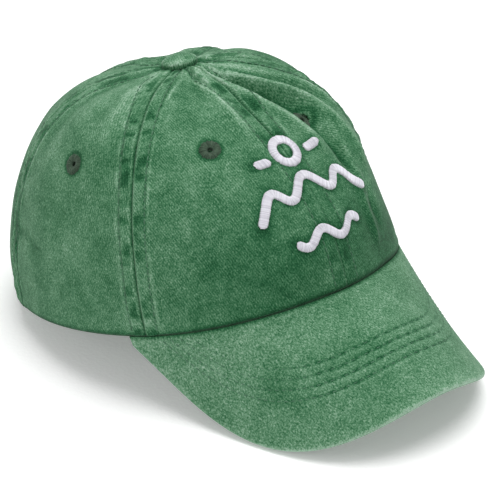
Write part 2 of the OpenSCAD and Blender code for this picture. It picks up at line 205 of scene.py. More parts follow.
# Soft folds: height and width in mm, then the line of each as (t, s)
FOLDS = (
    (1.0, 1.7, ((-1, 0.86), (-4.5, 0.76), (-10, 0.68), (-14, 0.62))),
    (-1.3, 1.8, ((-13.5, 0.82), (-20, 0.74), (-27, 0.66), (-30, 0.59))),
    (1.0, 1.7, ((-26, 0.82), (-32, 0.73), (-38, 0.64), (-40, 0.57), (-38, 0.48))),
    (-1.1, 1.7, ((5, 0.88), (4, 0.8), (-1, 0.72))),
    (2.9, 4.2, ((2, 0.9), (1, 0.8), (-6, 0.7), (-14, 0.61), (-17, 0.54), (-18, 0.46), (-17, 0.4))),
    (-4.4, 5.0, (
        (-11, 0.86), (-17, 0.77), (-26, 0.67), (-31, 0.59), (-30, 0.53), (-29, 0.47), (-27, 0.38), (-24, 0.3),
    )),
    (3.2, 4.5, ((-23, 0.89), (-32, 0.75), (-38, 0.65), (-42, 0.56), (-41, 0.47), (-38, 0.38), (-34, 0.3))),
    (-2.5, 3.8, ((-30, 0.88), (-39, 0.75), (-45, 0.65), (-49, 0.56), (-49, 0.47))),
    (1.7, 4.0, ((-37, 0.9), (-45, 0.77), (-52, 0.66), (-56, 0.56), (-57, 0.46))),
    (1.5, 2.7, ((-33, 0.42), (-30, 0.37), (-27.5, 0.33), (-25, 0.28), (-24, 0.22))),
    (1.7, 2.6, ((-23, 0.31), (-21, 0.25), (-20, 0.2), (-20, 0.14), (-20.5, 0.07))),
    (-1.3, 2.4, ((-28, 0.27), (-25.5, 0.2), (-25, 0.12))),
    (0.8, 2.6, ((-6, 0.27), (-5.5, 0.21), (-6, 0.15))),
    (1.6, 4.0, ((16, 0.92), (12, 0.82), (13, 0.72), (12, 0.62), (11, 0.52))),
    (-1.0, 5.0, ((26, 0.92), (24, 0.82), (24, 0.72))),
    (0.9, 6.0, ((78, 0.92), (77, 0.8), (76, 0.68), (75, 0.55))),
    (-0.8, 6.0, ((104, 0.92), (105, 0.8), (107, 0.68), (108, 0.5))),
    (1.0, 6.0, ((-84, 0.92), (-83, 0.8), (-80, 0.68), (-78, 0.5))),
    (-0.9, 6.0, ((-101, 0.92), (-101, 0.8), (-99, 0.68))),
    (0.9, 6.0, ((146, 0.92), (147, 0.8), (146, 0.68), (143, 0.55))),
    (-0.9, 6.0, ((-144, 0.92), (-146, 0.8), (-148, 0.68), (-150, 0.55))),
    (1.1, 7.0, ((-112, 0.35), (-125, 0.3), (-138, 0.33))),
    (-1.0, 6.0, ((95, 0.2), (108, 0.26), (122, 0.24))),
)
# Where the worn crown leans in or out: t, s, height in mm, spread in degrees and in s
LEANS = (
    (-54, 0.15, -5.6, 19, 0.2),
    (133, 0.12, 1.2, 20, 0.12),
    (-84, 0.68, -1.2, 22, 0.14),
    (0, 0.28, -0.9, 22, 0.2),
    (-22, 0.05, -2.0, 13, 0.2),
    (-32, 0.6, -2.0, 30, 0.24),
)


def lean(t, s):
    """Broad lean of the crown's wall, which the bottom edge and the brim's root share."""
    return sum(h * bump(wrap(t - a), 0, wide) * bump(s, mid, tall) for a, mid, h, wide, tall in LEANS)


def folds(t, s):
    """Height in mm of the soft folds, and how near their crest (to 1) or trough (to -1) a point is."""
    p, a = base(t, s), np.radians(t)
    round_top = stack(26 * np.cos(a), 26 * np.sin(a), 22 * s)
    gather = noise(round_top, 4.5, 51) * smooth((s - 0.55) / 0.3)
    high, crest = 0.55 * gather, 0.5 * gather
    for height, width, line in FOLDS:
        angles, heights = np.array(line, float).T
        k = np.linspace(0, len(line) - 1, 40)
        dots = base(np.interp(k, range(len(line)), angles), np.interp(k, range(len(line)), heights))
        end = np.minimum(1, np.minimum(k + 0.15, len(line) - 1 - k + 0.1) / 0.8)
        near = np.abs(wrap(t - angles.mean())) < 45
        gap = size_of(p[near][:, None] - dots)
        best, gap = end[gap.argmin(1)], gap.min(1)
        high[near] += height * best * bump(gap, 0, width)
        crest[near] += np.clip(height / 2.2, -1.2, 1.2) * best * bump(gap, 0, 0.38 * width)
    return high, crest


def eyelet_gaps(p):
    """Distance in mm of points p from the middle of each eyelet."""
    for angle in EYELETS.values():
        for sign in (1, -1):
            yield size_of(p - base(sign * angle, EYELET_S))


def drape(t, s):
    """How far the soft crown stands off its plain surface, mm: slump, folds and slow waves."""
    t, s = pair(wrap(t), s)
    shape, t, s = t.shape, t.ravel(), s.ravel()
    p = base(t, s)
    calm = 1 - 0.8 * smooth((np.abs(t) - 80) / 30) * smooth((0.42 - s) / 0.12)
    out = (0.6 * noise(p, 34, 1) + 0.4 * noise(p, 17, 2)) * calm + folds(t, s)[0]
    for gap in eyelet_gaps(p):
        out = out - 0.5 * bump(gap, 0, 6)
    return (out * smooth(s / 0.07) * smooth((1 - s) / 0.05) + lean(t, s)).reshape(shape)


SEAMS = (0.0, SEAM_1, SEAM_2, 180.0, -SEAM_2, -SEAM_1)  # where the panels meet


def stitch_off(c):
    """Distance of the topstitching from a seam, less where the panels narrow to the top."""
    return np.minimum(STITCH_OFF, 0.4 * CROWN_SIDE * c)


def seam_fields(t, s):
    """Height (mm), and how much the seams lighten and darken the cloth (0 to 1) at t, s: lighter on the
    ridges, partly wear and partly painted highlight; darker in the seam's groove, along the stitched line and
    in the puckers' hollows, which is painted shade.
    """
    t, s = pair(wrap(t), s)
    c = shrink(t, s)
    along = s * PANEL_RUN
    off = stitch_off(c)
    clear = smooth((CROWN_SIDE * c - 4) / 6)
    high = fade = deep = 0
    for k, seam in enumerate(SEAMS):
        d = wrap(t - seam) * speed(seam) * c
        room = clear * (1 - 0.6 * smooth((0.5 - s) / 0.12)) if seam == 0 else clear
        a, side = np.abs(d), np.sign(d)
        both = noise(stack(9 * k, along, a * 0.2), 3.6, 11)
        one = noise(stack(side * 40 + 9 * k, along, a * 0.7), 2.4, 12)
        wave = noise(stack(side * 31 + 5 * k, along, a * 0.3), 4.2, 13)
        inside = smooth((a - 0.8) / 1.1) * smooth((off - 0.3 - a) / 1.1)
        pad = 1 / (1 + np.exp(np.clip((a - off - 0.6) / 0.35, -40, 40)))
        high = high + room * (
            0.8 * pad
            - 0.95 * bump(a, 0, 0.7)
            - 0.5 * bump(a, off, 0.7)
            + inside * (0.6 * wave - 0.45 * both)
            + 0.35 * bump(a, off + 1.7, 1.2) * (0.6 + 0.9 * wave)
        )
        # lighter on the ridges beside the seam and the stitching: partly wear, partly painted highlight
        fade = fade + room * (
            0.35 * bump(a, 1.3, 0.6) * (0.7 + 0.9 * wave)
            + 0.38 * bump(a, off + 1.3, 0.9) * (0.75 + 0.9 * wave)
            + 0.3 * inside * limit(-1.2 * both - 0.3)
        )
        # painted shade in the puckers' hollows, the seam's groove and the stitched line
        deep = deep + room * (
            inside * np.clip(0.14 + 1.2 * both + 0.7 * one, 0, 0.8)
            + 0.6 * bump(a, 0, 0.4)
            + 0.35 * bump(a, off, 0.7) * limit(0.6 + one)
        )
    return high, limit(fade), limit(deep)


def round_corners(path):
    """Chaikin's corner cutting, which keeps the ends."""
    p = np.asarray(path, float)
    for _ in range(3):
        q = np.stack([0.82 * p[:-1] + 0.18 * p[1:], 0.18 * p[:-1] + 0.82 * p[1:]], 1).reshape(-1, 2)
        p = np.concatenate([p[:1], q, p[-1:]])
    return p


# The embroidered motif, in mm to the wearer's right and up the front: ring and bars, peaks, wave
RING_MID, RING_R = (0, 63), 5.4
BAR_RIGHT, BAR_LEFT = np.array([(10.0, 61), (17, 61)]), np.array([(-17.0, 61), (-10, 61)])
PEAKS = round_corners([(-29, 36), (-18.5, 50), (-11, 41), (0, 53.5), (11, 41), (18.5, 50), (29, 36)])
steps = np.arange(0, 36.1, 0.5)
WAVE = stack(steps - 18, 25.5 + 2.8 * np.sin(np.radians(20 * steps)))


def motif_gap(t, s):
    """Distance in mm from the middle of the nearest satin bar."""
    a = np.radians(wrap(t)) * CROWN_SIDE * shrink(t * 0, s)
    b = s * PANEL_RUN
    gap = np.abs(np.hypot(a - RING_MID[0], b - RING_MID[1]) - RING_R)
    for bar in (BAR_RIGHT, BAR_LEFT, PEAKS, WAVE):
        for p, way in zip(bar[:-1], np.diff(bar, axis=0)):
            k = limit(((a - p[0]) * way[0] + (b - p[1]) * way[1]) / (way @ way))
            gap = np.minimum(gap, np.hypot(a - p[0] - k * way[0], b - p[1] - k * way[1]))
    return gap


def wear_and_painted_light(t, s, fade, deep):
    """Adds the panels' own lightening and darkening to the seams': fold crests lighter, partly wear and
    partly painted highlight, and troughs darker, painted shade; darker low at the front, partly dye and
    partly painted shade; painted shade round the motif, the eyelets, along the bottom edge and round the
    button; the upper crown lighter, partly sun fade and partly painted light from above.
    """
    p = base(t, s)
    front = smooth((60 - np.abs(wrap(t))) / 40)
    patch = noise(p, 26, 21)
    low = front * smooth((0.42 - s) / 0.34)
    crest = folds(wrap(t).ravel(), np.broadcast_to(s, t.shape).ravel())[1].reshape(t.shape)
    # fold crests lighter (wear with painted highlight), troughs darker (painted shade); low at the front
    # darker, partly dye and partly painted shade
    fade = fade + 0.68 * limit(crest)
    deep = deep + 0.85 * limit(-crest) + 0.42 * low * (1 + 0.6 * patch)
    fade = fade * (1 - 0.5 * low)
    # painted shade round the raised motif
    from_motif = np.maximum(motif_gap(t, s) - 1.9, 0)
    deep = deep + 0.45 * bump(from_motif, 0, 1.6) * (np.abs(wrap(t)) < 40)
    # painted shade round each eyelet's ring
    for gap in eyelet_gaps(p):
        deep = deep + 0.8 * bump(gap, 4.9, 1.2)
    # painted shade along the crown's bottom edge over the brim and round the button's foot
    from_button = np.hypot(p[..., 0], p[..., 1] + TOP_SHIFT)
    deep = deep + 0.8 * bump(s * PANEL_RUN, 0, 1.4) + 0.9 * bump(from_button, 8.5, 2.0)
    # the upper crown lighter: partly sun fade, partly painted light from above
    fade = fade + 0.22 * smooth((s - 0.6) / 0.3)
    return limit(fade), limit(deep)


def motif_room(t, s):
    """1 where the embroidery holds the cloth flat, else 0."""
    a, b = wrap(t) * speed(0.0) * shrink(t, s), s * PANEL_RUN
    return smooth((33 - np.abs(a)) / 6) * smooth((b - 18) / 5) * smooth((71 - b) / 5)


def skin(t, s, off=0.0, detail=1.0):
    """Points of the draped crown: off is measured outwards, detail scales the seams' relief."""
    t, s = pair(t, s)
    high = drape(t, s)
    if detail:
        high = high + detail * seam_fields(t, s)[0] * (1 - 0.6 * motif_room(t, s))
        high = high + detail * 0.35 * bump(s * PANEL_RUN, 2.4, 1.6)
    return base(t, s) + (high + off)[..., None] * normal(t, s)


def bezier(points, k):
    n = len(points) - 1
    shares = [math.comb(n, i) * (k**i * (1 - k) ** (n - i)) for i in range(n + 1)]
    return sum(share[..., None] * np.asarray(p, float) for share, p in zip(shares, points))


def settle(e):
    """How the crown's lean carries the brim's root with it."""
    return lean(BRIM_T * e, 0.0)[..., None] * normal(BRIM_T * e, 0.0)


def root(e):
    a = np.radians(BRIM_T * e)
    p = stack(-CROWN_SIDE * np.sin(a), -CROWN_FRONT * np.cos(a), edge_rise(BRIM_T * e))
    return p + settle(e)


RIM_R = BRIM_THICK / 2  # radius of the brim's rolled rim
SLOPE = math.radians(BRIM_SLOPE)
NOSE = np.array([0, -CROWN_FRONT - BRIM_LEN * math.cos(SLOPE), FRONT_RISE - BRIM_LEN * math.sin(SLOPE)])
CORNER = root(np.array(1.0))
BRIM_EDGE = [
    NOSE,
    NOSE + [-40.5, 0, 0],
    [-71, NOSE[1] + 43.7, NOSE[2] - 40.9],
    CORNER + [15.9, -29.9, -35],
    CORNER,
]


# On the brim, e runs from -1 at the wearer's left to 1, and w from the crown (0) to the edge (1)
def brim_edge(e):
    q = bezier(BRIM_EDGE, np.abs(e))
    q = q * stack(np.where(e < 0, -1.0, 1.0), 1, 1)
    return q + settle(e) * smooth((np.abs(e) - 0.65) / 0.35)[..., None]


def sheet(e, w):
    e, w = pair(e, w)
    return root(e) * (1 - w[..., None]) + brim_edge(e) * w[..., None] - [0, 0, TURN]


def brim_down(e, w):
    e, w = pair(e, w)
    outwards = sheet(e, w + 0.01) - sheet(e, w - 0.01)
    d = unit(np.cross(outwards, sheet(e + 0.005, w) - sheet(e - 0.005, w)))
    inward = -unit(normal(BRIM_T * e, np.zeros_like(e)) * [1, 1, 0])
    k = (1 - smooth(w / 0.08))[..., None]
    return unit(d * (1 - k) + inward * k)


def brim(e, w, o):
    """Points of the brim, o below its top face; its layers close up at the two ends."""
    thin = 1 - 0.6 * smooth((np.abs(e) - 0.95) / 0.04)
    return sheet(e, w) + (RIM_R + (o - RIM_R) * thin)[..., None] * brim_down(e, w)


# ---- geometry
def piece(verts, faces, uv=None, **fields):
    """Geometry as a dict of points, lists of faces, uv and fields."""
    verts = verts.reshape(-1, 3)
    uv = np.zeros((len(verts), 2)) if uv is None else uv.reshape(-1, 2)
    return {"v": verts, "f": faces, "uv": uv, "a": fields}


def add_mesh(name, geos, material, body="cap", stands=()):
    """One smooth object from pieces of geometry in mm, riding on a body."""
    loops, sizes, start = [], [], 0
    for g in geos:
        for f in g["f"]:
            loops.append((f + start).ravel())
            sizes.append(np.full(len(f), f.shape[1]))
        start += len(g["v"])
    loops, sizes = np.concatenate(loops), np.concatenate(sizes)
    me = bpy.data.meshes.new(name)
    me.vertices.add(start)
    points = to_row(np.concatenate([g["v"] for g in geos]))
    me.vertices.foreach_set("co", points.astype(np.float32).ravel())
    me.loops.add(len(loops))
    me.loops.foreach_set("vertex_index", loops.astype(np.int32))
    me.polygons.add(len(sizes))
    me.polygons.foreach_set("loop_start", (np.cumsum(sizes) - sizes).astype(np.int32))
    me.update(calc_edges=True)
    me.polygons.foreach_set("use_smooth", np.ones(len(sizes), bool))
    layer = me.uv_layers.new(name="cloth")
    uv = np.concatenate([g["uv"] for g in geos]) / 1000.0
    layer.data.foreach_set("uv", uv[loops].astype(np.float32).ravel())
    for key in sorted({k for g in geos for k in g["a"]}):
        data = me.attributes.new(key, "FLOAT", "POINT")
        values = np.concatenate([g["a"].get(key, np.zeros(len(g["v"]))) for g in geos])
        data.data.foreach_set("value", values.astype(np.float32))
    me.materials.append(material)
    obj = bpy.data.objects.new(name, me)
    bpy.context.scene.collection.objects.link(obj)
    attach(obj, body)
    if stands:
        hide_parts(*stands)
    return obj


def shell(outer, inner, keep=None, uv=None, **fields):
    """A closed skin between two grids of points; keep says which cells are cloth."""
    ni, nj = outer.shape[:2]
    keep = np.ones((ni - 1, nj - 1), bool) if keep is None else keep
    ids = np.arange(ni * nj).reshape(ni, nj)
    far = ids + ni * nj
    faces = [
        stack(ids[:-1, :-1], ids[1:, :-1], ids[1:, 1:], ids[:-1, 1:])[keep],
        stack(far[:-1, :-1], far[:-1, 1:], far[1:, 1:], far[1:, :-1])[keep],
    ]
    pad = np.pad(keep, 1)
    after, before, above, below = pad[1:-1, 1:], pad[1:-1, :-1], pad[1:, 1:-1], pad[:-1, 1:-1]
    for cloth, gap, di, dj, order in (
        (after, before, 1, 0, 1), (before, after, 1, 0, -1),
        (above, below, 0, 1, -1), (below, above, 0, 1, 1),
    ):
        i, j = np.where(cloth & ~gap)
        rim = [ids[i, j], far[i, j], far[i + di, j + dj], ids[i + di, j + dj]]
        faces.append(np.stack(rim[::order], -1))
    faces = np.concatenate(faces)
    verts = np.concatenate([outer.reshape(-1, 3), inner.reshape(-1, 3)])
    used = np.unique(faces)
    uv = None if uv is None else np.concatenate([uv.reshape(-1, 2)] * 2)[used]
    number = np.zeros(len(verts), int)
    number[used] = np.arange(len(used))
    fields = {k: np.concatenate([np.broadcast_to(v, (ni, nj)).ravel()] * 2)[used] for k, v in fields.items()}
    return piece(verts[used], [number[faces]], uv, **fields)


def tube(rings, closed=False, uv=None, **fields):
    """A skin over rings of points (n, m, 3), capped at both ends unless closed."""
    n, m = rings.shape[:2]
    ids = np.arange(n * m).reshape(n, m)
    ends = np.roll(ids, -1, 0) if closed else ids[1:]
    a = ids if closed else ids[:-1]
    faces = [stack(a, np.roll(a, -1, 1), np.roll(ends, -1, 1), ends).reshape(-1, 4)]
    if not closed:
        faces += [ids[:1, ::-1], ids[-1:]]
    return piece(rings, faces, uv, **{k: np.broadcast_to(v, (n, m)).ravel() for k, v in fields.items()})


def threads(paths, ups, radius, blunt=0.35, seed=5):
    """Round threads along paths (k, m, 3), thinner at both ends."""
    paths, sides = np.asarray(paths), 5
    k, m = paths.shape[:2]
    tangent = unit(np.gradient(paths, axis=1))
    side = unit(np.cross(tangent, ups))
    up = np.cross(side, tangent)
    size = radius * np.minimum(1, blunt + 1.3 * np.sin(np.linspace(0, np.pi, m)))[None, :, None, None]
    a = circle(sides)
    ring = paths[:, :, None] + size * (side[:, :, None] * np.cos(a) + up[:, :, None] * np.sin(a))
    ids = np.arange(k * m * sides).reshape(k, m, sides)
    nxt = np.roll(ids, -1, 2)
    faces = [
        stack(ids[:, :-1], ids[:, 1:], nxt[:, 1:], nxt[:, :-1]).reshape(-1, 4),
        ids[:, 0],
        ids[:, -1, ::-1],
    ]
    shade = np.repeat(np.random.default_rng(seed).uniform(0, 1, k), m * sides)
    along = np.tile(np.repeat(np.linspace(0, 1, m), sides), k)
    return piece(ring, faces, strand=shade, along=along)


def stitches(rows, radius):
    """Short sewn stitches along rows; a row is (points, normals) as dense polylines."""
    paths, ups = [], []
    for points, normals in rows:
        run = run_along(points)
        for start in np.arange(STITCH_PITCH * 0.5, run[-1] - STITCH_LEN, STITCH_PITCH):
            u = start + STITCH_LEN * np.linspace(0, 1, 6)
            n = unit(points_at(u, run, normals))
            paths.append(points_at(u, run, points) + n * (0.3 * np.sin(rows_of(0, np.pi, 6)) - 0.14))
            ups.append(n)
    return threads(paths, ups, radius)


def topstitch(name, rows, radius=0.22, body="cap"):
    """Rows of stitches as one object."""
    add_mesh("topstitch_" + name, [stitches(rows, radius)], SEWING, body=body)


# ---- materials
class Look:
    """A node material round one Principled shader, built up with short calls."""

    def __init__(self, name, rough, **sockets):
        self.material = bpy.data.materials.new(name)
        self.material.use_nodes = True
        self.tree = self.material.node_tree
        self.shader = self.tree.nodes["Principled BSDF"]
        self.shader.inputs["Roughness"].default_value = rough
        for key, value in sockets.items():
            self.shader.inputs[key.replace("_", " ")].default_value = value
        self.where = self.node("ShaderNodeTexCoord").outputs["Object"]

    def node(self, kind, *inputs, **settings):
        n = self.tree.nodes.new(kind)
        for key, value in settings.items():
            setattr(n, key, value)
        for i, value in enumerate(inputs):
            if isinstance(value, bpy.types.NodeSocket):
                self.tree.links.new(value, n.inputs[i])
            elif value is not None:
                n.inputs[i].default_value = value
        return n

    def math(self, kind, *inputs, clamp=False):
        return self.node("ShaderNodeMath", *inputs, operation=kind, use_clamp=clamp).outputs[0]

    def sum(self, base, *terms):
        """base plus each (amount, socket)."""
        total = base
        for amount, socket in terms:
            total = self.math("MULTIPLY_ADD", socket, amount, total)
        return total

    def noise(self, size, detail=2.0, rough=0.5, where=None):
        """Noise about zero, from about -1 to 1, with features of that size in metres."""
        n = self.node("ShaderNodeTexNoise", where or self.where, None, 1 / size, detail, rough)
        return self.math("MULTIPLY_ADD", n.outputs["Fac"], 3.2, -1.6)

    def field(self, name):
        return self.node("ShaderNodeAttribute", attribute_name=name).outputs["Fac"]

    def stretch(self, socket, x, y, z=1.0):
        return self.node("ShaderNodeVectorMath", socket, (x, y, z), operation="MULTIPLY").outputs[0]

    def ramp(self, value, *stops):
        n = self.node("ShaderNodeValToRGB", value)
        e = n.color_ramp.elements
        while len(e) < len(stops):
            e.new(0.5)
        for item, (place, colour) in zip(e, stops):
            item.position, item.color = place, (*colour, 1)
        return n.outputs["Color"]

    def done(self, colour, height, depth, strength=1.0, rough=None):
        bump_node = self.node("ShaderNodeBump", strength, depth)
        self.tree.links.new(height, bump_node.inputs["Height"])
        self.tree.links.new(bump_node.outputs[0], self.shader.inputs["Normal"])
        self.tree.links.new(colour, self.shader.inputs["Base Color"])
        if rough is not None:
            self.tree.links.new(rough, self.shader.inputs["Roughness"])
        return self.material


GREENS = (
    (0.0, (0.004, 0.048, 0.016)),
    (0.3, (0.018, 0.102, 0.040)),
    (0.5, (0.056, 0.170, 0.082)),
    (0.72, (0.130, 0.272, 0.160)),
    (1.0, (0.300, 0.450, 0.335)),
)
RIB = 0.00105  # pitch of the twill's diagonal ribs, m
STEEP = 2.2  # rise of the ribs for one across


def twill(name, tone=0.5, heather=0.36, ribs=0.08, mottle=0.13, rib=RIB):
    """Washed cotton twill: diagonal ribs, flecked yarn, mottled dye, and the piece's fields that lighten it
    (wear with painted highlight) and darken it (dye with painted shade).
    """
    look = Look(name, 0.95, Sheen_Weight=0.08, Sheen_Roughness=0.5, Specular_IOR_Level=0.12)
    uv = look.node("ShaderNodeUVMap", uv_map="cloth").outputs[0]
    part = look.node("ShaderNodeSeparateXYZ", uv)
    u, v = part.outputs[0], part.outputs[1]
    wobble = look.noise(0.0032, 3, 0.6)
    turns = look.math("SUBTRACT", look.math("MULTIPLY", u, STEEP), v)
    turns = look.math("MULTIPLY", turns, 2 * math.pi / (rib * math.hypot(1, STEEP)))
    ribbing = look.math("SINE", look.math("MULTIPLY_ADD", wobble, 1.7, turns))
    shown = look.math("MULTIPLY_ADD", look.noise(0.012, 2), 0.6, 0.75, clamp=True)
    ribbing = look.math("MULTIPLY", ribbing, shown)
    yarn = look.noise(1.0, 2, 0.6, look.stretch(uv, 2300, 620))
    weft = look.noise(1.0, 1, 0.5, look.stretch(uv, 700, 2600))
    fleck = look.noise(0.00075, 2, 0.75)
    value = look.sum(
        tone,
        (0.7 * mottle, look.noise(0.036, 2)),
        (mottle, look.noise(0.016, 3, 0.55)),
        (mottle * 0.8, look.noise(0.0045, 2, 0.5)),
        (heather, fleck),
        (heather * 0.6, yarn),
        (ribs, ribbing),
        # lighter with wear and painted highlight, darker with dye and painted shade
        (0.42, look.field("fade")),
        (-0.44, look.field("deep")),
    )
    height = look.sum(0.0, (0.3, ribbing), (0.35, yarn), (0.3, weft), (0.35, fleck))
    return look.done(look.ramp(value, *GREENS), height, 0.00011, 0.9)


def thread_look(name, low, high, rough=0.6, **sockets):
    """Twisted sewing thread: every strand has its own shade, with a fine lay along it."""
    look = Look(name, rough, **sockets)
    value = look.sum(0.1, (0.75, look.field("strand")), (0.12, look.noise(0.0006, 2)))
    return look.done(look.ramp(value, (0, low), (1, high)), look.noise(0.0003, 2), 0.00004, 0.7)


def metal_look(name, low, high, rough):
    """Worn metal: dark patina in patches, brighter between them, with a fine brushed grain."""
    look = Look(name, rough, Metallic=1.0)
    patina = look.sum(0.5, (0.4, look.noise(0.005, 4, 0.65)), (0.12, look.noise(0.0007, 2)))
    fine = look.noise(1.0, 2, 0.5, look.stretch(look.where, 300, 300, 4000))
    gloss = look.sum(rough, (0.1, look.noise(0.003, 3)), (0.05, fine))
    return look.done(look.ramp(patina, (0, low), (1, high)), fine, 0.00002, 0.5, gloss)


CROWN = twill("crown twill", 0.50)
BRIM = twill("brim twill", 0.585, heather=0.40, ribs=0.02, mottle=0.1)
UNDER = twill("under brim twill", 0.46)
BUTTON = twill("button twill", 0.56)
BAND = twill("sweatband twill", 0.54, heather=0.2, ribs=0.1, mottle=0.07, rib=0.0008)
TAPES = twill("seam tape", 0.5, heather=0.15, ribs=0.14, mottle=0.05, rib=0.0013)
SEWING = thread_look("sewing thread", (0.03, 0.11, 0.055), (0.085, 0.21, 0.12), 0.75)
EYELET = thread_look("eyelet thread", (0.011, 0.033, 0.015), (0.062, 0.115, 0.067), 0.8, Sheen_Weight=0.05)
SATIN = thread_look("satin thread", (0.56, 0.55, 0.61), (0.82, 0.81, 0.87), 0.5, Sheen_Weight=0.1)
BRASS = metal_look("antique brass", (0.045, 0.030, 0.016), (0.47, 0.34, 0.17), 0.3)
STEEL = metal_look("zinc shell", (0.22, 0.22, 0.22), (0.55, 0.55, 0.54), 0.42)


def mottled_look(name, rough, size, low, high, grain, depth):
    """A plain matt surface: soft mottling of that size in metres, and a fine grain."""
    look = Look(name, rough)
    value = look.sum(0.5, (0.3, look.noise(size, 3)))
    look.done(look.ramp(value, (0, low), (1, high)), look.noise(grain), depth)
    return look


BOARD = mottled_look("brim board", 0.55, 0.01, (0.7, 0.7, 0.68), (0.8, 0.8, 0.78), 0.001, 0.00003).material

# ---- crown
ARCH_I = math.degrees(math.asin(ARCH_W / 2 / CROWN_SIDE))
ARCH_O = ARCH_I + BIND_W / speed(180 - ARCH_I)
CUT = 0.93  # where the panels end under the binding, as a share of its outer edge
EYELET_CUT = 3.0  # radius of the hole that each eyelet covers


def height_s(z):
    return math.degrees(math.asin((z / CROWN_H) ** (1 / TOP_POW))) / 90


def arch_s(t, share=1.0):
    """s of the cut round the back opening, at the binding's outer edge times share."""
    k = limit((180 - np.abs(wrap(t))) / (ARCH_O * share))
    return height_s(ARCH_H + BIND_W) * share * np.sqrt(1 - k * k)


def cloth_uv(t, s, mid):
    """Millimetres across and up the flat cloth of a panel whose middle is at mid."""
    across = wrap(t - mid) * speed(mid) * shrink(t, s)
    line = np.linspace(0, 1, 400)
    return stack(across, np.interp(s, line, run_along(base(mid, line))))


PANELS = {
    "front_right": (0, SEAM_1),
    "side_right": (SEAM_1, SEAM_2),
    "back_right": (SEAM_2, 180),
    "front_left": (-SEAM_1, 0),
    "side_left": (-SEAM_2, -SEAM_1),
    "back_left": (-180, -SEAM_2),
}


def panel_angles(t0, t1):
    """Angles across a panel, closer together at its seams and at the ends of the arch."""
    x = np.linspace(0, 1, 140)
    t = t0 + (t1 - t0) * (0.5 * x + 0.25 * (1 - np.cos(np.pi * x)))
    if max(abs(t0), abs(t1)) > 179:
        sign = 1 if t1 > 0 else -1
        ends = sign * (180 - CUT * ARCH_O * np.cos(np.radians(np.linspace(0, 60, 24))))
        t = np.unique(np.round(np.concatenate([t, ends]), 5))
    return t


def grid_area(p):
    """Area in square metres of a grid of points in mm."""
    a, b = p[1:, 1:] - p[:-1, :-1], p[:-1, 1:] - p[1:, :-1]
    return float(size_of(np.cross(a, b)).sum() / 2e6)


def wall(t, n):
    """t and s of a grid from the bottom edge or the arch's cut up to the top, n points high."""
    low = arch_s(t, CUT)
    s = low + (TOP_S - low) * columns_of(0, 1, n)
    return np.broadcast_to(t, s.shape), s


def stretched(t, s, uv):
    """Works out the width, length and area of a piece of the crown's cloth, whose flat cut is its uv in mm,
    and keeps none of them.
    """
    width, length = (float(v) / 1000 for v in np.ptp(uv, (0, 1)))
    area = min(grid_area(base(t, s)), width * length)


for name, (t0, t1) in PANELS.items():
    mid = (t0 + t1) / 2
    t, s = wall(panel_angles(t0, t1)[:, None], 215)
    outer, inner = skin(t, s), skin(t, s, -CLOTH, 0.0)
    middle = (outer[1:, 1:] + outer[:-1, :-1]) / 2
    eye = math.copysign(EYELETS[name.split("_")[0]], mid)
    keep = size_of(middle - skin(eye, EYELET_S, 0, 0)) > EYELET_CUT
    uv = cloth_uv(t, s, mid)
    fade, deep = wear_and_painted_light(t, s, *seam_fields(t, s)[1:])
    geo = shell(outer, inner, keep, uv, fade=fade, deep=deep)
    obj = add_mesh("cloth_" + name, [geo], CROWN, stands=[name + "_panel"])
    stretched(t, s, uv)

rows = []
for seam in SEAMS:
    for side in (-1, 1):
        s = np.linspace(0.004, 0.975, 420)
        s = s[s > arch_s(seam + side * 0.01)] if abs(seam) == 180 else s
        c = shrink(seam, s)
        t = seam + side * stitch_off(c) / (speed(seam) * c)
        rows.append((skin(t, s, 0.05), normal(t, s)))
topstitch("crown", rows, 0.27)

for name, seam in (
    ("front", 0), ("front_right", SEAM_1), ("front_left", -SEAM_1),
    ("back_right", SEAM_2), ("back_left", -SEAM_2), ("back", 180),
):
    k = rows_of(-1, 1, 26)
    t, s = wall(seam + TAPE_HALF / speed(seam) * k, 150)
    hem = bump(np.abs(k), 0.68, 0.05) - 0.8 * bump(np.abs(k), 0.78, 0.05)
    ridge = 0.18 * hem - 0.15 * bump(k, 0, 0.06)
    outer = skin(t, s, -CLOTH - 0.03, 0.0)
    inner = skin(t, s, -CLOTH - TAPE - ridge, 0.0)
    uv = cloth_uv(t, s, seam)
    geo = shell(outer, inner, uv=uv, fade=0.15, deep=0.0)
    obj = add_mesh("taped_" + name, [geo], TAPES, stands=["tape_" + name])
    stretched(t, s, uv)

# ---- eyelets
EYELET_PROFILE = (
    (1.2, -1.9), (1.15, 0), (1.6, 0.34), (2.9, 0.42), (4.0, 0.28), (4.6, 0), (4.6, -0.5), (2.4, -1.9),
)
EYELET_THREADS = 66


def round_eyelet(centre, n, turn, r, h):
    """Points at angle turn and distance r round an eyelet's middle, h above the cloth."""
    e1 = unit(np.cross([0, 0, 1.0], n))
    e2 = np.cross(n, e1)
    turn, r, h = (x[..., None] for x in np.broadcast_arrays(turn, r, h))
    return centre + r * (np.cos(turn) * e1 + np.sin(turn) * e2) + h * n


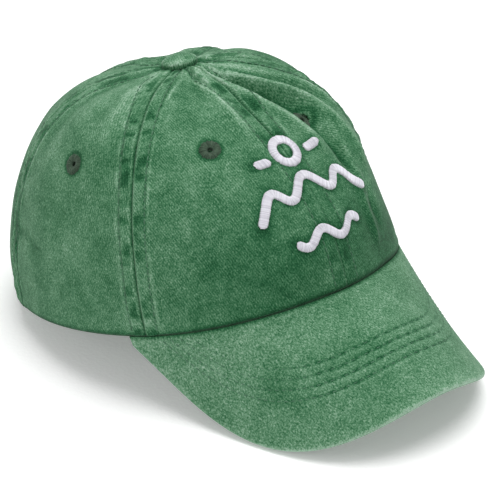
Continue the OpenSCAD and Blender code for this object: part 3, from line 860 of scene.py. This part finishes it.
for kind, angle in EYELETS.items():
    for side, sign in (("right", 1), ("left", -1)):
        t, rng = sign * angle, np.random.default_rng(int(angle))
        centre, n = skin(t, EYELET_S, 0, 0), normal(t, EYELET_S)
        r, h = np.array(EYELET_PROFILE).T
        ring = tube(round_eyelet(centre, n, circle(72), r, h), closed=True, strand=0.15)
        k = columns_of(0, 1, 11)
        spin = circle(EYELET_THREADS) + rng.uniform(-0.03, 0.03, (EYELET_THREADS, 1))
        reach = rng.uniform(4.55, 5.15, (EYELET_THREADS, 1))
        r = 1.1 + (reach - 1.1) * k
        h = -0.5 + 1.1 * np.sin(np.minimum(k * 1.9, 1) * np.pi / 2) - 0.55 * smooth((k - 0.55) / 0.45)
        h = h + rng.uniform(-0.04, 0.04, (EYELET_THREADS, 1))
        paths = round_eyelet(centre, n, spin + 0.05 * (k - 0.5), r, h)
        loops = threads(paths, np.broadcast_to(n, paths.shape), 0.2, blunt=0.5, seed=int(angle))
        place = f"{kind}_{side}"
        add_mesh("ring_" + place, [ring, loops], EYELET, stands=["eyelet_" + place])

# ---- button
SKIRT_K, SKIRT_H = 0.12, 1.6  # the button's upright skirt: share of the grid, and height
a = rows_of(0, 2 * np.pi, 97)
k = columns_of(0, 1, 40)
rise = limit((k - SKIRT_K) / (1 - SKIRT_K)) * np.pi / 2
lift = np.where(k < SKIRT_K, SKIRT_H * k / SKIRT_K, SKIRT_H + (BUTTON_H - SKIRT_H) * np.sin(rise))
reach = np.where(k < SKIRT_K, 1, np.cos(rise))
pleat = 0.16 * np.sin(a * 11) * bump(k, 0.14, 0.16) + 0.1 * np.sin(a * 3 + 1) * bump(k, 0.55, 0.3)


def dome(r, top, wave):
    x, y = (r * reach + wave) * np.cos(a), (r * reach + wave) * np.sin(a)
    z = lift * top / BUTTON_H + 0.12 * np.sin(a * 2 + 0.7) * bump(k, 0.7, 0.25)
    return stack(x, y - TOP_SHIFT, CROWN_H + z)


outer, inner = dome(BUTTON_R, BUTTON_H, pleat), dome(BUTTON_R - CLOTH, BUTTON_H - CLOTH, 0 * pleat)
fade = limit(0.5 * bump(k, 0.3, 0.25) + 0.25 * np.sin(a * 3 + 2))
# painted shade round the button's foot, where it meets the crown
geo = shell(outer, inner, uv=outer[..., :2], fade=fade, deep=0.8 * bump(k, 0, SKIRT_K))
add_mesh("button_cloth", [geo], BUTTON, stands=["button_cover"])

# ---- brim
E_END = (SEAM_1 + TAPE_HALF / speed(SEAM_1)) / BRIM_T
BOARD_SHARE = 0.955  # the board stops short of the brim's two ends
e = rows_of(-E_END, E_END, 300)
brim_len = size_of(brim_edge(e[:, 0]) - root(e[:, 0]))[:, None]
flat_k = columns_of(0, 1, 150)
roll = np.radians(columns_of(0, 90, 10))[:, 1:]


def rim_profile(radius, edge):
    """Distance in from the rim, and drop, of a cover that rolls over the rim."""
    flat = brim_len * (1 - flat_k) + RIM_R * flat_k
    d = np.concatenate([flat, RIM_R - radius * np.sin(roll) + 0 * e], 1)
    drop = np.concatenate([edge + 0 * flat, RIM_R - radius * np.cos(roll) + 0 * e], 1)
    return d, drop


def brim_relief(e, d):
    """Height of the top cover, d mm in from the rim, and how much it is lightened and darkened: a worn pale
    rim and paler sides, lighter ridges beside the rows with painted highlight, a darker patch mid-brim, dark
    dashes along the rows (darker thread with painted shade in its holes), and painted shade at the root.
    """
    p = stack(BRIM_RUN * e, d, 0)
    high = 0.22 * noise(p, 22, 31)
    fade = 1.3 * bump(d, -0.5, 1.3) + 0.13 * bump(d, 2.5, 3) + 0.12 * smooth((np.abs(e) - 0.45) / 0.4)
    show = smooth((0.46 - e) / 0.22) * smooth((0.31 + e) / 0.12)
    lower = smooth((d - 12) / 10) * smooth((44 - d) / 8) * smooth((0.7 - np.abs(e)) / 0.4)
    deep = 0.13 * lower * (1 + 0.8 * noise(p, 12, 35))
    for i, row in enumerate(BRIM_ROWS):
        along = 2 * np.pi * (BRIM_RUN * e + 1.1 * i) / BRIM_DASH
        dash = 0.45 + 0.5 * np.sin(along) + 0.5 * noise(p * [1.0, 0.2, 1] + [9 * i, 0, 0], 5, 33)
        # each row: a groove, dark dashes of the darker thread with painted shade in its holes, and a lighter
        # ridge beside it, partly wear and partly painted highlight
        high = high - (0.07 + 0.07 * show) * bump(d, row, 0.6) * limit(0.4 + dash)
        deep = deep + (0.12 + show) * bump(d, row, 0.55) * limit(dash)
        fade = fade + (0.1 + show) * 0.16 * bump(d, row - 1.7, 0.9)
    # painted shade where the brim meets the crown
    deep = deep + 0.8 * bump(d, brim_len, 1.1)
    return high, limit(fade), limit(deep)


def corner_at(p, q, from_p, from_q):
    """The point of the plane at those distances from p and q, on the left of the way from p to q."""
    gap = abs(q - p)
    along = (gap**2 + from_p**2 - from_q**2) / (2 * gap)
    return p + (q - p) / gap * complex(along, math.sqrt(max(from_p**2 - along**2, 0)))


def laid_flat(inner, outer):
    """Width and length in metres of the strip between two lines of points in mm, unrolled into a plane."""
    a, b = 0j, complex(math.dist(inner[0], outer[0]))
    flat = [(a, b)]
    for i in range(1, len(inner)):
        c = corner_at(a, b, math.dist(inner[i], inner[i - 1]), math.dist(inner[i], outer[i - 1]))
        b = corner_at(c, b, math.dist(outer[i], inner[i]), math.dist(outer[i], outer[i - 1]))
        a = c
        flat.append((a, b))
    flat = np.array(flat)
    a, b = flat[len(flat) // 2]
    flat = flat / (b - a) * abs(b - a)
    return float(np.ptp(flat.imag)) / 1000, float(np.ptp(flat.real)) / 1000


d, drop = rim_profile(RIM_R, 0.0)
d_in, drop_in = rim_profile(RIM_R - COVER, COVER)
w, w_in = 1 - d / brim_len, 1 - d_in / brim_len
high, fade, deep = brim_relief(e, d)
high = high * smooth((d - 0.8) / 2) * smooth(w / 0.05)
outer, inner = brim(e, w, drop - high), brim(e, w_in, drop_in)
uv = stack(outer[..., 0], brim_len - d)
geo = shell(outer, inner, uv=uv, fade=fade, deep=deep)
top = add_mesh("brim_upper", [geo], BRIM, stands=["brim_top_cover", "brim_turned_edge"])
es = np.linspace(-E_END, E_END, 301)
size = laid_flat(root(es), brim_edge(es))
grid_area(outer)

ripple = 0.15 * noise(stack(BRIM_RUN * e, d, 0), 14, 41)
fade = limit(0.7 * bump(d, 0.5, 2.5) + 0.1)
deep = 0
# each stitched row: a groove with painted shade along it
for row in BRIM_ROWS:
    ripple = ripple - 0.22 * bump(d, row, 0.7)
    deep = deep + 0.4 * bump(d, row, 0.6)
ripple = ripple * smooth((d - 0.8) / 2) * smooth(w / 0.05)
outer, inner = brim(e, w, BRIM_THICK - drop + ripple), brim(e, w_in, BRIM_THICK - drop_in)
geo = shell(inner, outer, uv=uv, fade=fade, deep=limit(deep))
under = add_mesh("brim_lower", [geo], UNDER, stands=["brim_under_cover"])
grid_area(outer)

e, w = np.broadcast_arrays(BOARD_SHARE * e, columns_of(0.004, 0.97, 50))
below = COVER + 0.05  # leaves a hair's breadth to each cover
geo = shell(brim(e, w, below), brim(e, w, BRIM_THICK - below), fade=0.0)
add_mesh("brim_stiffener", [geo], BOARD, stands=["brim_board"])

rows, low_rows = [], []
for row in BRIM_ROWS:
    es = np.linspace(-E_END, E_END, 900)
    ws = 1 - row / size_of(brim_edge(es) - root(es))
    es, ws = es[ws > 0.01], ws[ws > 0.01]
    down = brim_down(es, ws)
    rows.append((brim(es, ws, 0.22), -down))
    low_rows.append((brim(es, ws, BRIM_THICK - 0.15), down))
topstitch("brim", rows + low_rows, 0.24)

# ---- sweatband, binding
SWEAT_S = 0.24  # how high the sweatband reaches up the wall


def gap_to(t):
    """Gap between crown and sweatband, which widens into the strap's pocket at the back."""
    return CLOTH + TAPE + (POCKET - CLOTH - TAPE) * smooth((76 - (180 - np.abs(wrap(t)))) / 22)


t = rows_of(-(180 - ARCH_O), 180 - ARCH_O, 460)
gap = gap_to(t)
s_up = columns_of(0, SWEAT_S, 34)
slack = 0.25 * noise(stack(wrap(t) * 1.5, s_up * PANEL_RUN, 0), 16, 51) * smooth(s_up / 0.04)
wall_out = skin(t, s_up, -gap - 0.05 + slack * 0.3, 0.0)
seam_dip = 0.3 * bump(s_up * PANEL_RUN, 30.6, 0.8) + 0.3 * bump(s_up * PANEL_RUN, 4, 0.9)
wall_in = skin(t, s_up, -gap - SWEAT + slack + seam_dip, 0.0)
fold = np.radians(columns_of(0, 180, 7))[:, 1:-1]
top_out = skin(t, SWEAT_S + 0.0045 * np.sin(fold), -gap - SWEAT / 2 + (SWEAT / 2) * np.cos(fold), 0.0)
rim = skin(t, 0.0 * s_up[:, :5], -columns_of(0.25, 1, 5) * (gap + SWEAT), 0.0)
rings = np.concatenate([wall_out, top_out, wall_in[:, ::-1], rim[:, ::-1] - [0, 0, TURN]], 1)
run = np.concatenate([np.zeros((len(t), 1)), np.cumsum(size_of(np.diff(rings, axis=1)), 1)], 1)
geo = tube(rings, uv=stack(wrap(t) * 1.55, run), fade=0.1, deep=0.0)
band = add_mesh("sweatband_cloth", [geo], BAND, stands=["sweatband"])
arc_len = float(run_along(base(t[:, 0], 0))[-1]) / 1000
rows = []
tt = np.linspace(-(180 - ARCH_O) + 1, 180 - ARCH_O - 1, 1500)
for row in (0.03, 0.222):
    rows.append((skin(tt, row, -gap_to(tt) - SWEAT + 0.1, 0.0), -normal(tt, row)))
topstitch("sweatband", rows)

SI, SO = height_s(ARCH_H), height_s(ARCH_H + BIND_W)
BIND_ROWS = (0.31, 0.84)  # its two stitched rows
# The binding's section: how far in from its outer edge, and mm off the crown
BINDING = np.array([
    (0, -0.1), (0.02, 0.45), (0.08, 0.75), (0.25, 0.72), (0.32, 0.6), (0.4, 0.78), (0.6, 0.86), (0.78, 0.8),
    (0.84, 0.62), (0.9, 0.78), (0.99, 0.55), (1.03, 0.0), (1.04, -0.45), (1.03, -0.9), (0.99, -1.45),
    (0.9, -1.7), (0.6, -1.7), (0.3, -1.7), (0.08, -1.65), (0.02, -1.35), (0, -0.8),
])


def on_arch(turn, k):
    """t and s at angle turn round the arch, k of the way in from the binding's outer edge."""
    return 180 - (ARCH_O + (ARCH_I - ARCH_O) * k) * np.cos(turn), (SO + (SI - SO) * k) * np.sin(turn)


turn = rows_of(0, np.pi, 150)
k, off = BINDING.T[:, None]
rng = np.random.default_rng(61)
pucker = 0.1 * np.interp(turn, np.linspace(0, np.pi, 60), rng.uniform(-1, 1, 60))
fade = 0.65 * bump(k, 1.0, 0.12) + 0.35 * bump(k, 0.02, 0.06)
# painted shade along the binding's two stitched rows
deep = 0.5 * bump(k, BIND_ROWS[0], 0.05) + 0.5 * bump(k, BIND_ROWS[1], 0.05)
uv = stack(turn * 45, np.arange(len(BINDING)) * 0.9)
geo = tube(skin(*on_arch(turn, k), off + pucker * (off > 0), 0.0), uv=uv, fade=fade, deep=deep)
add_mesh("binding_cloth", [geo], CROWN, stands=["arch_binding"])
rows = []
for row in BIND_ROWS:
    place = on_arch(np.linspace(0.02, np.pi - 0.02, 700), row)
    rows += (skin(*place, 0.68, 0.0), normal(*place)), (skin(*place, -1.72, 0.0), -normal(*place))
topstitch("binding", rows)

# ---- strap and buckle
STRAP_ROW = 2.6  # its stitched rows lie this far from its edges


def polar(a, r, z):
    """A point on the strap's leaning arc: a in degrees from straight back towards the wearer's right."""
    a, r, z = np.broadcast_arrays(np.radians(a), r, z)
    r = r - LEAN * z
    return stack(-r * np.sin(a), STRAP_Y + r * np.cos(a), z)


z0, z1, edge = STRAP_Z, STRAP_Z + STRAP_W, STRAP_T / 2
face = z0 + edge + (z1 - z0 - 2 * edge) * np.linspace(0, 1, 14)
dip = 0.16 * (bump(face, z0 + STRAP_ROW, 0.6) + bump(face, z1 - STRAP_ROW, 0.6))
fold = np.radians([30, 60, 90, 120, 150])
zs = np.concatenate([face, z1 - edge + edge * np.sin(fold), face[::-1], z0 + edge - edge * np.sin(fold)])
off = np.concatenate([-dip, -edge + edge * np.cos(fold), -STRAP_T + dip[::-1], -edge - edge * np.cos(fold)])
rings = polar(rows_of(-STRAP_LEFT, STRAP_RIGHT, 260), STRAP_R + off, zs)
uv = stack(run_along(stack(zs, off)), run_along(rings[:, 0])[:, None])
edges = np.minimum(zs - z0, z1 - zs)
# painted shade along the strap's stitched rows
geo = tube(rings, uv=uv, fade=0.55 * bump(edges, 0, 0.9), deep=0.5 * bump(edges, STRAP_ROW, 0.6))
add_mesh("strap_cloth", [geo], CROWN, body="strap", stands=["strap"])
rows = []
for z in (z0 + STRAP_ROW, z1 - STRAP_ROW):
    tight = np.linspace(-STRAP_LEFT + 1, STRAP_RIGHT - 1, 900)
    side = unit(polar(tight, STRAP_R + 1, z) - polar(tight, STRAP_R, z))
    rows.append((polar(tight, STRAP_R - 0.1, z), side))
    rows.append((polar(tight, STRAP_R - STRAP_T + 0.1, z), -side))
topstitch("strap", rows, body="strap")

MID_Z = STRAP_Z + STRAP_W / 2
SEAT_R = STRAP_R - STRAP_T / 2  # measured at z = 0, as polar() does
BAR_X, BAR_Y, TAB_T, TAB_GAP = -3.4, 9.5, 1.0, 0.7
WIND_R = 1.1  # radius of the tab's turn round the buckle's bar
bar_r = math.hypot(SEAT_R + BAR_X, BAR_Y)
bar_a = BUCKLE_A + math.degrees(math.atan2(BAR_Y, SEAT_R + BAR_X))
tab_r = STRAP_R - STRAP_T - TAB_GAP - TAB_T / 2
per_deg = bar_r * math.pi / 180
wind = np.radians(np.linspace(0, 180, 18))
# The tab's middle line: in from the crown, round the bar, and back under itself
outer_a, inner_a = np.linspace(TAB_END, bar_a + 0.3, 50), np.linspace(bar_a + 1.0, bar_a + 8.5, 18)
outer_r = np.interp(outer_a, [bar_a + 0.3, bar_a + 3, TAB_END], [bar_r + WIND_R, tab_r, tab_r])
inner_r = np.linspace(bar_r - WIND_R, tab_r - 1.05, 18)
line_a = np.concatenate([outer_a, bar_a - WIND_R * np.sin(wind) / per_deg, inner_a])
line_r = np.concatenate([outer_r, bar_r + WIND_R * np.cos(wind), inner_r])
centre = stack(line_a * per_deg, line_r)
lead = unit(np.gradient(centre, axis=0))
out = stack(lead[:, 1], -lead[:, 0])
half = STRAP_W / 2 - 1
zs = MID_Z + half * np.concatenate([np.linspace(-1, 1, 12), np.linspace(1, -1, 12)])
th = TAB_T / 2 * np.repeat([1.0, -1.0], 12) * 0.92
flat = centre[:, None] + out[:, None] * th[:, None]
rings = polar(flat[..., 0] / per_deg, flat[..., 1], zs)
uv = stack(zs, run_along(centre)[:, None])
geo = tube(rings, uv=uv, fade=0.5 * bump(half - np.abs(zs - MID_Z), 0, 1.0), deep=0.0)
add_mesh("tab_cloth", [geo], CROWN, stands=["buckle_tab"])

# ---- embroidery
SATIN_W, SATIN_T, THREAD_STEP = 3.8, 1.0, 0.4
BLUNT_END = 1.6  # length over which a bar rounds off at its ends


def on_front(a, b, off):
    """Points and normals at a mm to the wearer's right and b mm up the front."""
    s = b / PANEL_RUN
    t = np.degrees(a / (CROWN_SIDE * shrink(0.0, s)))
    return skin(t, s, off, 0.35), normal(t, s)


def satin(path, closed=False, seed=1):
    """A raised satin bar: threads laid side by side across a path (a, b), over a padded underlay."""
    if closed:
        path = np.concatenate([path, path[:1]])
    run = run_along(path)
    n = int(run[-1] / THREAD_STEP)
    u = np.linspace(0, run[-1], n, endpoint=not closed)
    c = points_at(u, run, path)
    if closed:
        lead = unit(np.roll(c, -2, 0) - np.roll(c, 2, 0))
        end = np.ones(n)
    else:
        before = [c[:1] * 3 - 2 * c[1:2], c[:1] * 2 - c[1:2]]
        after = [c[-1:] * 2 - c[-2:-1], c[-1:] * 3 - 2 * c[-2:-1]]
        pad = np.concatenate([*before, c, *after])
        lead = unit(pad[4:] - pad[:-4])
        from_end = np.minimum(u, run[-1] - u) / BLUNT_END
        end = np.where(from_end > 1, 1, np.sqrt(np.clip(1 - (1 - from_end) ** 2, 0.16, 1)))
    side = stack(-lead[:, 1], lead[:, 0])
    rng = np.random.default_rng(seed)
    half = SATIN_W / 2 * end * (1 + rng.uniform(-0.035, 0.035, n))
    rise = 0.35 + 0.65 * end[:, None]

    def over(x, height, skew):
        """Points across the bar, x from -1 to 1 at heights over the cloth."""
        flat = c[:, None] + side[:, None] * (x * half[:, None])[..., None] + skew * lead[:, None] * x[:, None]
        return on_front(flat[..., 0], flat[..., 1], height)

    x = np.linspace(-1, 1, 11)
    arch = np.sqrt(limit(1 - x**4)) * rise
    paths, ups = over(x, arch * (SATIN_T * rng.uniform(0.95, 1.05, (n, 1))) - 0.12, 0.25)
    x = np.concatenate([np.linspace(-0.95, 0.95, 9), np.linspace(0.95, -0.95, 5)])
    arch = np.where(np.arange(len(x)) < 9, np.sqrt(limit(1 - x**4)) * (SATIN_T - 0.22), -0.35) * rise
    underlay = tube(over(x, arch, 0)[0], closed=closed, strand=0.4, along=0.5)
    return [threads(paths, ups, THREAD_STEP * 0.62, blunt=0.6, seed=seed), underlay]


turn = np.linspace(0, 2 * np.pi, 121)[:-1]
ring = RING_R * stack(np.cos(turn), np.sin(turn)) + RING_MID
upper = satin(ring, True, 1) + satin(BAR_RIGHT, seed=2) + satin(BAR_LEFT, seed=3)
add_mesh("satin_upper", upper, SATIN, stands=["embroidery_upper"])
add_mesh("satin_middle", satin(PEAKS, seed=4), SATIN, stands=["embroidery_middle"])
add_mesh("satin_lower", satin(WAVE, seed=5), SATIN, stands=["embroidery_lower"])

# ---- CAD pieces that stay
for name in ("buckle_frame", "buckle_pin", "buckle_lever", "button_shell", "button_rivet"):
    obj = frame["nodes"][name]
    obj.data.materials.clear()
    obj.data.materials.append(BRASS if name.startswith("buckle") else STEEL)
    if name.startswith("buckle"):
        soft = obj.modifiers.new("rounded", "BEVEL")
        soft.width, soft.segments = 0.0003, 3
        soft.limit_method, soft.angle_limit = "ANGLE", math.radians(35)

# ---- stage, light, camera
FLOOR_HALF, FLOOR_Z = 6, -0.0005
floor_look = mottled_look("floor", 0.9, 0.05, (0.86, 0.86, 0.86), (0.9, 0.9, 0.9), 0.002, 0.00005)
floor_look.shader.inputs["Emission Color"].default_value = (1, 1, 1, 1)
floor_look.shader.inputs["Emission Strength"].default_value = 0.22
me = bpy.data.meshes.new("floor")
corners = ((-1, -1), (1, -1), (1, 1), (-1, 1))
me.from_pydata([(FLOOR_HALF * x, FLOOR_HALF * y, FLOOR_Z) for x, y in corners], [], [(0, 1, 2, 3)])
me.materials.append(floor_look.material)
floor = bpy.data.objects.new("floor", me)
bpy.context.scene.collection.objects.link(floor)

LIT = Vector((0, 0, 0.06))  # what the lights point at, m
for name, place, size, watts in (
    ("key", (0.3, 0.0, 1.7), 1.7, 29.5),
    ("left", (-1.6, 0.3, 0.8), 1.1, 6),
    ("front", (0.4, -1.8, 0.7), 1.1, 2.5),
):
    light = bpy.data.lights.new(name, "AREA")
    light.shape, light.size, light.energy = "DISK", size, watts
    obj = bpy.data.objects.new(name, light)
    obj.location = place
    obj.rotation_euler = (LIT - Vector(place)).to_track_quat("-Z", "Y").to_euler()
    bpy.context.scene.collection.objects.link(obj)
world = bpy.data.worlds.new("studio")
bpy.context.scene.world = world
world.use_nodes = True
sky = world.node_tree.nodes["Background"]
sky.inputs["Color"].default_value = (1, 1, 1, 1)
sky.inputs["Strength"].default_value = 0.42
bpy.context.scene.view_settings.view_transform = "Standard"

# The camera in the cap's level frame: azimuth, elevation, roll, distance in mm, and focal length in pixels
AZ, EL, ROLL = (math.radians(v) for v in (-35.02, 16.03, -11.26))
DISTANCE, FOCAL_PX, FRAME_PX, SENSOR = 1309.9, 2955.6, 500, 36.0
AIM_RIGHT, AIM_UP = 9.8, -36.0  # where it aims, from the target, mm
target = np.array([0.0, -30.0, 50.0])
back = np.array([math.sin(AZ) * math.cos(EL), -math.cos(AZ) * math.cos(EL), math.sin(EL)])
level = np.array([math.cos(AZ), math.sin(AZ), 0.0])
upright = np.cross(back, level)
right = level * math.cos(ROLL) + upright * math.sin(ROLL)
top = -level * math.sin(ROLL) + upright * math.cos(ROLL)
place = target + back * DISTANCE
look_back = unit(place - (target + AIM_RIGHT * right + AIM_UP * top))
right = unit(right - look_back * (right @ look_back))
top = np.cross(look_back, right)
pose = np.eye(4)
pose[:3, :3] = (np.stack([right, top, look_back]) @ TURN_TO_ROW).T
pose[:3, 3] = to_row(place)
camera = bpy.data.objects.new("camera", bpy.data.cameras.new("camera"))
camera.data.sensor_width, camera.data.lens = SENSOR, FOCAL_PX * SENSOR / FRAME_PX
camera.data.clip_start, camera.data.clip_end = 0.05, 30
camera.matrix_world = Matrix(pose)
bpy.context.scene.collection.objects.link(camera)
bpy.context.scene.camera = camera

bpy.context.view_layer.update()
